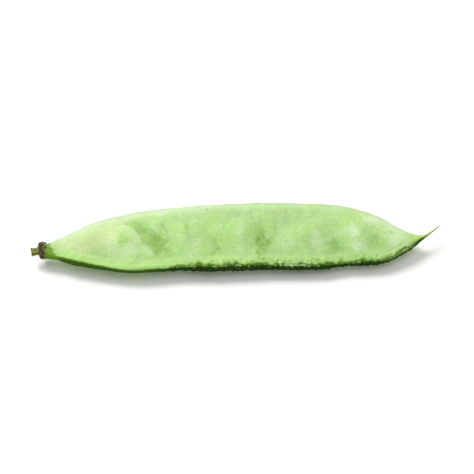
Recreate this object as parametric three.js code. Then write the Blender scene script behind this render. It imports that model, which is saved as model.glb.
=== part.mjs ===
// A hyacinth bean (Lablab purpureus): one flat green pod, picked with its dry calyx and a stub of stalk,
// lying on its broad side. Millimetres. +Z is up, +X runs from the stem end to the beak, and +Y points to the
// smooth rounded edge (the dorsal suture). The straighter, rough edge (the ventral suture) faces -Y.
// The origin is under the middle of the whole pod, on the surface that it lies on.
import * as THREE from "three";

// Driving dimensions of the pod
const podLength = 108; // stem end to beak tip
const podWidth = 24; // across the two edges at the widest
const podThickness = 6.2; // through the two walls, between the seeds
const seedCount = 5;
const seedSwell = 0.55; // how far each seed lifts the wall over it
const contactDepth = 0.45; // how far the soft wall gives where the pod lies on it

// Driving dimensions of the stem end
const calyxReach = 1.4; // how far the cup reaches over the neck
const calyxWall = 0.45;
const rimFlare = 0.3; // how far the cup opens at its rim
const calyxTeeth = 5;
const calyxToothDepth = 0.5; // how far the gaps between the teeth run down the rim
const stalkDiameter = 2.2;
const stalkLength = 1.6;
const stemLean = 8; // degrees about +Z: the stalk points away to the side of the rough edge
const fitGap = 0.3; // clearance between neighbouring pieces

// Mesh density
const stationCount = 84;
const girthPoints = 40;
const cupPoints = 40;
const stalkSides = 20;

// The lines of the pod, stem end to beak tip. Each row holds the place along the pod as a share of its length,
// the two edges as shares of its width from the axis, and the wall's half thickness as a share of the thickest.
const podLines = [
  [0.0, -0.14, -0.3, 0.48],
  [0.045, -0.01, -0.36, 0.53],
  [0.11, 0.2, -0.44, 0.66],
  [0.21, 0.375, -0.515, 0.84],
  [0.34, 0.462, -0.478, 0.97],
  [0.5, 0.515, -0.44, 1.0],
  [0.65, 0.503, -0.435, 1.0],
  [0.775, 0.445, -0.4, 0.93],
  [0.855, 0.27, -0.34, 0.74],
  [0.915, 0.06, -0.19, 0.5],
  [0.955, 0.008, -0.042, 0.26],
  [1.0, 0.148, 0.13, 0.07],
];

// Shape of a cross section
const bellyFullness = 0.85; // under 1 is fuller towards the edges, over 1 is more pinched
const ventralRib = 1.05; // radius of the thick rough edge
const dorsalRib = 0.75; // radius of the smooth edge
const slimmestRib = 0.45; // most of the half width that a rib's radius takes, in the neck and the beak
const grooveDepth = 0.22; // the furrow that sets a rib off from the wall
const groovePlace = 2.4; // from the edge, in rib radii
const grooveWidth = 0.8; // in rib radii
const narrowHalfWidth = 3; // no seeds or furrows in a section narrower than this,
const broadHalfWidth = 8; // and both at their full depth in one wider than this

// How the pod strays from a flat plane
const twistAtStem = -4.5; // degrees about +X: the smooth edge hangs low at the stem end
const twistAtBeak = 4; // and rides high at the beak
const stemLift = 0.9;
const beakLift = 1.2;
const liftedShare = 0.2; // share of the length, at each end, that curves up off the surface

// Where the seeds sit: shares of the length, of the half width from the axis, and of the length and width again
const firstSeed = 0.215;
const lastSeed = 0.8;
const seedRow = -0.08;
const seedHalfLength = 0.05;
const seedHalfWidth = 0.4;
const seedReach = 1.35; // where a swelling runs out, in seed half lengths and half widths

const halfThickness = podThickness / 2;
const lineCurve = new THREE.CatmullRomCurve3(
  podLines.map(([along, dorsal, ventral]) =>
    new THREE.Vector3(along * podLength, dorsal * podWidth, ventral * podWidth)),
);
const thicknessCurve = new THREE.CatmullRomCurve3(
  podLines.map(([along, , , thick]) => new THREE.Vector3(along * podLength, thick * halfThickness, 0)),
);

const bell = (value) => Math.exp(-value * value);
const bumpOver = (value, reach) => Math.max(0, 1 - (value / reach) ** 2) ** 2;

// The middle of a section, its half width and half thickness, its lift and its twist, at share t of the curve.
function sectionAt(t) {
  const edges = lineCurve.getPoint(t);
  const share = edges.x / podLength;
  const stemRise = stemLift * Math.max(0, 1 - share / liftedShare) ** 2;
  const beakRise = beakLift * Math.max(0, 1 - (1 - share) / liftedShare) ** 2;
  return {
    share,
    x: edges.x,
    middle: (edges.y + edges.z) / 2,
    halfWidth: (edges.y - edges.z) / 2,
    thick: thicknessCurve.getPoint(t).y,
    lift: stemRise + beakRise,
    twist: THREE.MathUtils.degToRad(THREE.MathUtils.lerp(twistAtStem, twistAtBeak, share)),
  };
}

// How far the seeds lift the wall at a share of the length and of the half width.
function seedLift(share, across) {
  let lift = 0;
  for (let seed = 0; seed < seedCount; seed++) {
    const place = THREE.MathUtils.lerp(firstSeed, lastSeed, seed / (seedCount - 1));
    const away = Math.hypot((share - place) / seedHalfLength, (across - seedRow) / seedHalfWidth);
    lift += seedSwell * bumpOver(away, seedReach);
  }
  return lift;
}

// The wall's half thickness at a share of the half width: a lens joined to a round rib along each edge.
function wallAt(section, across) {
  const ribRadius = Math.min(across < 0 ? ventralRib : dorsalRib, section.halfWidth * slimmestRib);
  const fromEdge = section.halfWidth * (1 - Math.abs(across));
  const lens = section.thick * (1 - across * across) ** bellyFullness;
  const rib = Math.sqrt(Math.max(0, ribRadius ** 2 - (ribRadius - fromEdge) ** 2));
  const oval = section.thick * Math.sqrt(1 - across * across);
  const joined = Math.min((lens ** 4 + rib ** 4) ** 0.25, Math.max(oval, rib));
  const broad = THREE.MathUtils.smoothstep(section.halfWidth, narrowHalfWidth, broadHalfWidth);
  const groove = grooveDepth * bell((fromEdge / ribRadius - groovePlace) / grooveWidth);
  return joined + broad * (seedLift(section.share, across) - groove);
}

// A closed solid through rings of points, each ring run the same way round, with a flat fan over each end.
function loftSolid(rings) {
  const around = rings[0].length;
  const points = rings.flat();
  const middles = [rings[0], rings[rings.length - 1]].map((ring) =>
    ring.reduce((sum, point) => sum.add(point), new THREE.Vector3()).divideScalar(around));
  const firstMiddle = points.push(middles[0]) - 1;
  const lastMiddle = points.push(middles[1]) - 1;
  const faces = [];
  for (let ring = 0; ring < rings.length - 1; ring++) {
    for (let i = 0; i < around; i++) {
      const a = ring * around + i;
      const b = ring * around + ((i + 1) % around);
      faces.push(a, b, a + around, b, b + around, a + around);
    }
  }
  const lastRing = (rings.length - 1) * around;
  for (let i = 0; i < around; i++) {
    const next = (i + 1) % around;
    faces.push(firstMiddle, next, i, lastMiddle, lastRing + i, lastRing + next);
  }
  const geometry = new THREE.BufferGeometry().setFromPoints(points);
  geometry.setIndex(faces);
  geometry.computeVertexNormals();
  return geometry;
}

// The height of the wall above the pod's axis, on its upper side (1), its lower side (-1) or its edges (0).
function wallHeight(section, across, side) {
  const slope = section.halfWidth * across * Math.sin(section.twist);
  return section.lift + slope + side * wallAt(section, across);
}

// The pod: rings from the stem end to the beak tip, pressed flat where they would go through the surface.
function podGeometry(axisHeight) {
  const rings = [];
  for (let station = 0; station < stationCount; station++) {
    const section = sectionAt(station / (stationCount - 1));
    const ring = [];
    for (let i = 0; i < girthPoints; i++) {
      const across = Math.cos((2 * Math.PI * i) / girthPoints);
      const side = i % (girthPoints / 2) === 0 ? 0 : i < girthPoints / 2 ? 1 : -1;
      const y = section.middle + section.halfWidth * across * Math.cos(section.twist);
      ring.push(new THREE.Vector3(section.x, y, Math.max(0, axisHeight + wallHeight(section, across, side))));
    }
    rings.push(ring);
  }
  return loftSolid(rings);
}

// How high the pod's axis lies for its lower wall to be pressed in by contactDepth.
function restingHeight() {
  let lowest = 0;
  for (let station = 0; station < stationCount; station++) {
    const section = sectionAt(station / (stationCount - 1));
    for (let i = 0; i <= girthPoints; i++) {
      lowest = Math.min(lowest, wallHeight(section, Math.cos((Math.PI * i) / girthPoints), -1));
    }
  }
  return -lowest - contactDepth;
}

// One ring of an oval round the stem end's axis, at a distance along +X, with the rim cut into teeth.
function ovalRing(x, halfWide, halfHigh, toothDepth = 0) {
  const ring = [];
  for (let i = 0; i < cupPoints; i++) {
    const angle = (2 * Math.PI * i) / cupPoints;
    const gap = toothDepth * (0.5 - 0.5 * Math.cos(calyxTeeth * angle));
    ring.push(new THREE.Vector3(x - gap, halfWide * Math.cos(angle), halfHigh * Math.sin(angle)));
  }
  return ring;
}

// The calyx: a shallow oval cup over the neck, with a toothed rim and its floor at -X. Rings go up the outside,
// over the rim and down the inside, so the solid closes on itself at the floor.
function calyxGeometry(neckHalfWidth, neckHalfHeight) {
  const floor = -fitGap;
  const back = floor - calyxWall;
  const inside = [neckHalfWidth + fitGap, neckHalfHeight + fitGap];
  const outside = inside.map((half) => half + calyxWall);
  const rim = inside.map((half) => half + rimFlare);
  const lip = rim.map((half) => half + calyxWall * 0.7);
  const scaled = (half, share) => half.map((value) => value * share);
  return loftSolid([
    ovalRing(back, ...scaled(outside, 0.5)),
    ovalRing(back + calyxWall * 0.3, ...scaled(outside, 0.88)),
    ovalRing(back + calyxWall, ...outside),
    ovalRing(calyxReach, ...lip, calyxToothDepth),
    ovalRing(calyxReach, ...rim, calyxToothDepth),
    ovalRing(floor + calyxWall, ...inside),
    ovalRing(floor, ...scaled(inside, 0.85)),
  ]);
}

// The stub of stalk: a short rod, a little waisted, and rounded off where it broke.
function stalkGeometry() {
  const radius = stalkDiameter / 2;
  const profile = [
    [0, 0],
    [radius * 0.92, 0],
    [radius * 0.86, stalkLength * 0.35],
    [radius, stalkLength * 0.75],
    [radius * 0.8, stalkLength * 0.95],
    [0, stalkLength],
  ].map(([r, along]) => new THREE.Vector2(r, along));
  return new THREE.LatheGeometry(profile, stalkSides).rotateZ(Math.PI / 2);
}

const podGreen = new THREE.MeshStandardMaterial({ color: 0xa9d07a, roughness: 0.55, metalness: 0 });
const dryBrown = new THREE.MeshStandardMaterial({ color: 0x5a4a24, roughness: 0.85, metalness: 0 });
const stalkTan = new THREE.MeshStandardMaterial({ color: 0x8a8443, roughness: 0.8, metalness: 0 });

const axisHeight = restingHeight();
const pod = new THREE.Mesh(podGeometry(axisHeight), podGreen);
pod.name = "pod";

// The stem end hangs on the pod's neck: the calyx over it, and the stalk behind the calyx, on one leaning axis.
const neck = sectionAt(0);
const calyx = new THREE.Mesh(calyxGeometry(neck.halfWidth, neck.thick), dryBrown);
calyx.name = "calyx";
const stalk = new THREE.Mesh(stalkGeometry(), stalkTan);
stalk.name = "stalk";
stalk.position.x = -calyxWall - 2 * fitGap;
const stemEnd = new THREE.Group();
stemEnd.position.set(0, neck.middle, neck.lift + axisHeight);
stemEnd.rotation.set(neck.twist, 0, THREE.MathUtils.degToRad(stemLean));
stemEnd.add(calyx, stalk);

const hyacinthBean = new THREE.Group();
hyacinthBean.add(pod, stemEnd);
const middle = new THREE.Box3().setFromObject(hyacinthBean, true).getCenter(new THREE.Vector3());
hyacinthBean.position.set(-middle.x, -middle.y, 0);

export default hyacinthBean;
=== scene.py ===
import math
from types import SimpleNamespace
import bpy
import numpy as np
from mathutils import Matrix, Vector


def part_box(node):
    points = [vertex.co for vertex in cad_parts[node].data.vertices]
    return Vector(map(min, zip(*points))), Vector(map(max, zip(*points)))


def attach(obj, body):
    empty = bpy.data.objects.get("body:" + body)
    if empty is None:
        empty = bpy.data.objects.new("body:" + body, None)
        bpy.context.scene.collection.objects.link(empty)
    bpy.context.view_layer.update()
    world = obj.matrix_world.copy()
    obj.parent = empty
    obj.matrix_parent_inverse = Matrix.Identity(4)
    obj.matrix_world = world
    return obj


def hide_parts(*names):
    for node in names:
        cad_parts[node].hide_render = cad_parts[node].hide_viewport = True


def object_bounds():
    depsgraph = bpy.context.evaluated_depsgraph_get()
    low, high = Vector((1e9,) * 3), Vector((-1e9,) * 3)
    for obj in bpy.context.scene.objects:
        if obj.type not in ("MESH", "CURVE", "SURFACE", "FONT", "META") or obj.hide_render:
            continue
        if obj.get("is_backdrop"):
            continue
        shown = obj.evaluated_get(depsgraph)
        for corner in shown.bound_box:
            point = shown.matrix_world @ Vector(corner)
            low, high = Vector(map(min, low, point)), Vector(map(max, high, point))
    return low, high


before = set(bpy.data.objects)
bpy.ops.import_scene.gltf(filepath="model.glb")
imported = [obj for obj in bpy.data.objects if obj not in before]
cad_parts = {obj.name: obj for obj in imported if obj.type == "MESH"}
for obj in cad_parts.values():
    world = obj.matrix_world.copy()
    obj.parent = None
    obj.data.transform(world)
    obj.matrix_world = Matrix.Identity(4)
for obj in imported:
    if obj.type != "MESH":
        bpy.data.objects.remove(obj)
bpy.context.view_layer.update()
mm = 0.001
podLow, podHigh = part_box("pod")
calyxLow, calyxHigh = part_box("calyx")
stalkLow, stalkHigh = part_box("stalk")
podLength = podHigh.x - podLow.x
print("frame loaded")


def smoothStep(value, low, high):
    # t^2 (3 - 2t), where t runs from 0 at low to 1 at high, and low may be the larger
    t = np.clip((value - low) / (high - low), 0, 1)
    return t * t * (3 - 2 * t)


def bell(value, place=0, width=1):
    # e^-((value - place) / width)^2
    return np.exp(-((value - place) / width) ** 2)


def smoothLine(knots, values, at):
    # between knots a and b: (2t^3 - 3t^2 + 1) a + (t^3 - 2t^2 + t) gap slopeA + (3t^2 - 2t^3) b
    # + (t^3 - t^2) gap slopeB; an inner knot's slope is that of the parabola through it and its neighbours
    slopes = np.gradient(values, knots)
    piece = np.clip(np.searchsorted(knots, at, side="right") - 1, 0, len(knots) - 2)
    gap = knots[piece + 1] - knots[piece]
    t = (at - knots[piece]) / gap
    start = (2 * t ** 3 - 3 * t ** 2 + 1) * values[piece] + (t ** 3 - 2 * t ** 2 + t) * gap * slopes[piece]
    end = (3 * t ** 2 - 2 * t ** 3) * values[piece + 1] + (t ** 3 - t ** 2) * gap * slopes[piece + 1]
    return start + end


def softNoise(x, y, seed):
    # heights from -1 to 1 drawn at whole numbers, blended by t^2 (3 - 2t) along both sides of each square
    lattice = 256  # squares before it repeats
    heights = np.random.default_rng(seed).uniform(-1, 1, (lattice, lattice))
    cellX, cellY = np.floor(x).astype(int), np.floor(y).astype(int)
    blendX, blendY = smoothStep(x - cellX, 0, 1), smoothStep(y - cellY, 0, 1)

    def row(up):
        left = heights[cellX % lattice, (cellY + up) % lattice]
        right = heights[(cellX + 1) % lattice, (cellY + up) % lattice]
        return left + (right - left) * blendX
    return row(0) + (row(1) - row(0)) * blendY


def fractal(x, y, seed, octaves):
    # noise, plus half as much at half the pitch, plus a quarter as much at a quarter of it, and so on
    return sum(softNoise(x * 2 ** k, y * 2 ** k, seed * 10 + k) / 2 ** k for k in range(octaves))


def ringNoise(angle, scale, rise, seed):
    # noise read along a circle of radius scale, so that it meets itself after a whole turn
    middle = 40
    return softNoise(middle + scale * np.cos(angle), middle + scale * np.sin(angle) + rise, seed)


def knobs(x, y, size, seed):
    # one round knob at a drawn place in each unit square: the tallest of h (1 - (distance / (size h))^2)^2
    lattice, placeRange, heightRange = 128, (0.15, 0.85), (0.45, 1)
    draw = np.random.default_rng(seed)
    placeX, placeY = draw.uniform(*placeRange, (2, lattice, lattice))
    tall = draw.uniform(*heightRange, (lattice, lattice))
    cellX, cellY = np.floor(x).astype(int), np.floor(y).astype(int)
    tallest = np.zeros_like(x)
    for stepX in (-1, 0, 1):
        for stepY in (-1, 0, 1):
            pick = ((cellX + stepX) % lattice, (cellY + stepY) % lattice)
            away = np.hypot(x - cellX - stepX - placeX[pick], y - cellY - stepY - placeY[pick])
            knob = tall[pick] * np.maximum(0, 1 - (away / (size * tall[pick])) ** 2) ** 2
            tallest = np.maximum(tallest, knob)
    return tallest


def bentLine(line, across):
    # place + slope across + bend across^2
    place, slope, bend = line
    return place + slope * across + bend * across ** 2


def atLeast(least, value):
    # least + (1 - least) value, for arrays and for a material's sockets
    return least + (1 - least) * value


def turns(count):
    # that many angles, evenly round a circle
    return 2 * math.pi * np.arange(count)[None, :] / count


def outward(points):
    # the cross product of the step round the section and the step along it, at length 1
    along = np.gradient(points, axis=0)
    around = np.roll(points, -1, axis=1) - np.roll(points, 1, axis=1)
    normal = np.cross(around, along)
    return normal / np.maximum(np.linalg.norm(normal, axis=2, keepdims=True), 1e-12)


def gridPiece(name, points, masks):
    # rows of points that each close on themselves, joined row to row, with a fan over each end row
    rows, columns = points.shape[:2]
    index = np.arange(rows * columns).reshape(rows, columns)
    beside = np.roll(index, -1, axis=1)
    quads = np.stack([index[:-1], beside[:-1], beside[1:], index[1:]], axis=-1).reshape(-1, 4)
    firstMiddle, lastMiddle = rows * columns, rows * columns + 1
    firstFan = np.stack([np.full(columns, firstMiddle), beside[0], index[0]], axis=-1)
    lastFan = np.stack([np.full(columns, lastMiddle), index[-1], beside[-1]], axis=-1)
    middles = np.stack([points[0].mean(axis=0), points[-1].mean(axis=0)])
    mesh = bpy.data.meshes.new(name)
    mesh.from_pydata(np.vstack([points.reshape(-1, 3), middles]).tolist(), [],
                     quads.tolist() + firstFan.tolist() + lastFan.tolist())
    for key, mask in masks.items():
        mask = np.broadcast_to(mask, (rows, columns))
        whole = np.concatenate([mask.ravel(), [mask[0].mean(), mask[-1].mean()]]).astype(np.float32)
        mesh.attributes.new(key, "FLOAT", "POINT").data.foreach_set("value", whole)
    mesh.shade_smooth()
    piece = bpy.data.objects.new(name, mesh)
    bpy.context.scene.collection.objects.link(piece)
    print(name, "made,", len(mesh.polygons), "faces")
    return piece


class Wire:
    # a node's socket that can stand in a sum: 1 - mask adds the Math node that it means
    def __init__(self, finish, socket):
        self.finish, self.socket = finish, socket

    def maths(self, operation, first, second):
        # one Math node that takes both
        return self.finish.node("ShaderNodeMath", {"operation": operation}, {0: first, 1: second})

    def __add__(self, other):
        return self.maths("ADD", self, other)

    def __sub__(self, other):
        return self.maths("SUBTRACT", self, other)

    def __rsub__(self, other):
        return self.maths("SUBTRACT", other, self)

    def __mul__(self, other):
        return self.maths("MULTIPLY", self, other)

    __radd__ = __add__
    __rmul__ = __mul__


class Finish:
    # a material in the making; its colour is what the coats laid so far have come to
    def __init__(self, name, colour, coats=None):
        self.material = bpy.data.materials.new(name)
        self.material.use_nodes = True
        self.tree = self.material.node_tree
        self.tree.nodes.clear()
        self.colour, self.coats = (*colour, 1), coats

    def node(self, kind, settings=None, sockets=None, output=0):
        # adds any node: first its settings, then the values or links of its sockets
        made = self.tree.nodes.new(kind)
        for key, value in (settings or {}).items():
            setattr(made, key, value)
        for key, value in (sockets or {}).items():
            if isinstance(value, Wire):
                self.tree.links.new(value.socket, made.inputs[key])
            else:
                made.inputs[key].default_value = value
        return Wire(self, made.outputs[output]) if made.outputs else None

    def mask(self, name):
        # a value that the mesh holds at each point
        return self.node("ShaderNodeAttribute", {"attribute_name": name}, output="Fac")

    def texture(self, kind, sockets):
        # a pattern on Object coordinates
        where = self.node("ShaderNodeTexCoord", output="Object")
        return self.node(kind, {}, {"Vector": where, **sockets})

    def noise(self, scale, detail, roughness, distortion=0):
        # noise about 0
        sockets = {"Scale": scale, "Detail": detail, "Roughness": roughness, "Distortion": distortion}
        return self.texture("ShaderNodeTexNoise", sockets) - 0.5

    def cells(self, scale):
        # the distance to the nearest of points strewn at random
        return self.texture("ShaderNodeTexVoronoi", {"Scale": scale})

    def between(self, value, low, high, top=1):
        # a smooth step from 0 at low to top at high
        return self.node("ShaderNodeMapRange", {"interpolation_type": "SMOOTHSTEP"},
                         {"Value": value, "From Min": low, "From Max": high, "To Max": top})

    def coat(self, name, amount, within=None):
        # lays one coat over the colour, where the amount lies beyond the coat's low and within says so
        colour, low, high, cover = self.coats[name]
        share = self.between(amount, low, high, cover)
        if within:
            share = share * within
        sockets = {0: share, 6: self.colour, 7: (*colour, 1)}
        self.colour = self.node("ShaderNodeMix", {"data_type": "RGBA"}, sockets, 2)

    def bump(self, height, distance, strength, over=None):
        # the normal of a surface raised by height * distance, on top of another such one
        sockets = {"Height": height, "Distance": distance, "Strength": strength}
        if over:
            sockets["Normal"] = over
        return self.node("ShaderNodeBump", {}, sockets)

    def finishWith(self, sockets):
        # the shader, with the colour that the coats came to
        shader = self.node("ShaderNodeBsdfPrincipled", {}, {"Base Color": self.colour, **sockets})
        self.node("ShaderNodeOutputMaterial", {}, {"Surface": shader})
        return self.material


# dark green: worn patches, painted shade in hollows and creases, darker grain; pale green: bloom with
# painted highlight, veins, paler grain
darkGreen, paleGreen, fleckGreen = (0.205, 0.39, 0.065), (0.64, 0.81, 0.5), (0.42, 0.56, 0.28)

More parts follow.
